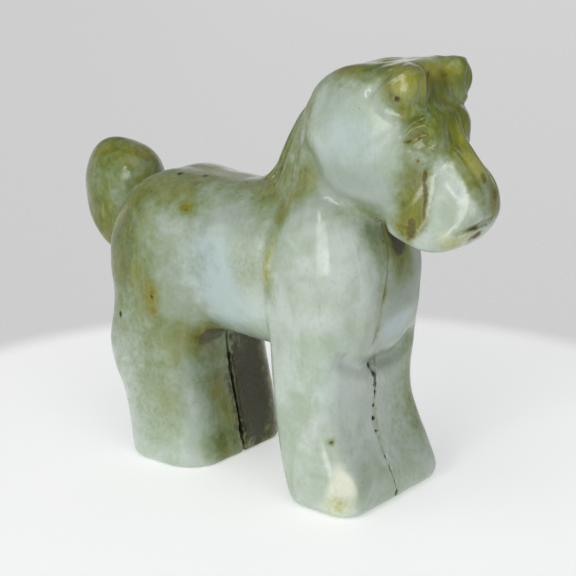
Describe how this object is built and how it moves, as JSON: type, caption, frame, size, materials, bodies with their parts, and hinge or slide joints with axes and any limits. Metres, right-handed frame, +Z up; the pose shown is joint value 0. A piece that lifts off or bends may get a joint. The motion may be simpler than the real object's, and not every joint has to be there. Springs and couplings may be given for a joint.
{
  "type": "jade horse figurine",
  "caption": "Small stocky standing horse carved from pale green jade, with blocky legs, broad cheeks, short ears and a plump tail; stands on flat feet.",
  "frame": {"origin": "middle of the figure's length and width, on the plane its four feet rest on", "axes": "+X the way the horse faces, +Y its left, +Z up"},
  "size_m": [0.0602, 0.0188, 0.0511],
  "materials": {
    "pale_jade": "waxy polish, pale grey-green with lavender clouds",
    "veined_jade": "waxy polish, grey-green with olive and brown veins",
    "olive_jade": "waxy polish, olive green to ochre"
  },
  "bodies": {
    "root": {"torso": "pale_jade", "neck": "pale_jade", "head": "veined_jade", "mane": "veined_jade", "right_ear": "olive_jade", "left_ear": "olive_jade", "tail": "olive_jade", "right_foreleg": "pale_jade", "left_foreleg": "pale_jade", "right_hind_leg": "pale_jade", "left_hind_leg": "veined_jade"}
  },
  "joints": []
}
